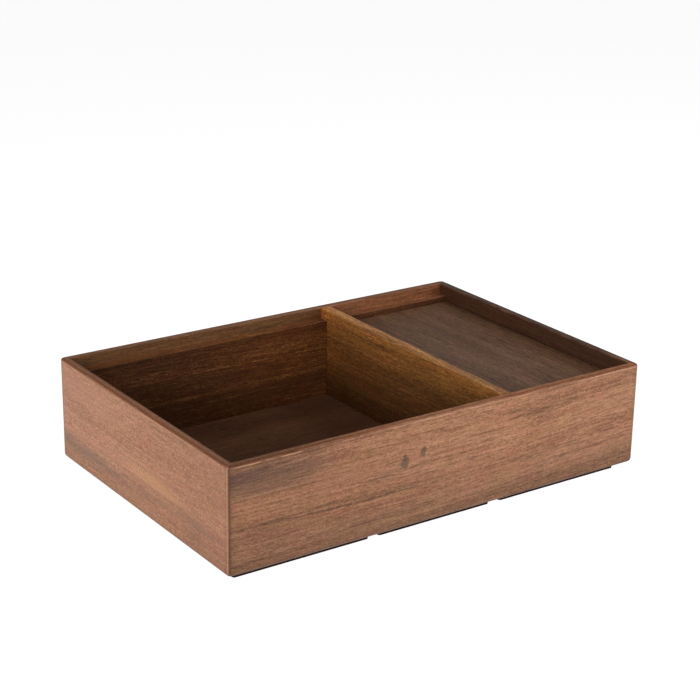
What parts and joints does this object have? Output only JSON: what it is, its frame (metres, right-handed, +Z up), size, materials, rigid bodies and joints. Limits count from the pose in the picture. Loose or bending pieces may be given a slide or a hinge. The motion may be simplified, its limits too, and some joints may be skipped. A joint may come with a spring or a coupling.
{
  "type": "cutlery tray",
  "caption": "Open rectangular wooden table tray with a lift-out divider, a raised board in the narrow compartment, inner ledges along the long walls and rubber grip strips underneath.",
  "frame": {"origin": "centre of the footprint, on the surface the grip strips stand on", "axes": "+X along the length towards the narrow compartment, +Y from the front long wall to the back long wall, +Z up"},
  "size_m": [0.28, 0.19, 0.064],
  "materials": {
    "wall_wood": "satin oiled hardwood with fine dark pores",
    "inner_wood": "satin oiled hardwood with fine dark pores",
    "panel_wood": "satin oiled hardwood",
    "tongue_wood": "raw hardwood, glued in",
    "grip_rubber": "matt"
  },
  "bodies": {
    "tray": {"front_wall": "wall_wood", "back_wall": "wall_wood", "left_end_wall": "wall_wood", "right_end_wall": "wall_wood", "front_left_tongue": "tongue_wood", "front_right_tongue": "tongue_wood", "back_left_tongue": "tongue_wood", "back_right_tongue": "tongue_wood", "bottom_panel": "panel_wood", "front_ledge_board": "inner_wood", "back_ledge_board": "inner_wood", "front_grip_strip_left": "grip_rubber", "front_grip_strip_middle": "grip_rubber", "front_grip_strip_right": "grip_rubber", "back_grip_strip_left": "grip_rubber", "back_grip_strip_middle": "grip_rubber", "back_grip_strip_right": "grip_rubber"},
    "divider_body": {"divider": "inner_wood"},
    "raised_board_body": {"raised_board": "inner_wood", "raised_board_front_leg": "inner_wood", "raised_board_back_leg": "inner_wood"}
  },
  "joints": [
    {"name": "divider_lift", "type": "slide", "parent": "tray", "child": "divider_body", "axis": [0, 0, 1], "range_m": [0, 0.06]},
    {"name": "raised_board_lift", "type": "slide", "parent": "tray", "child": "raised_board_body", "axis": [0, 0, 1], "range_m": [0, 0.06]}
  ]
}
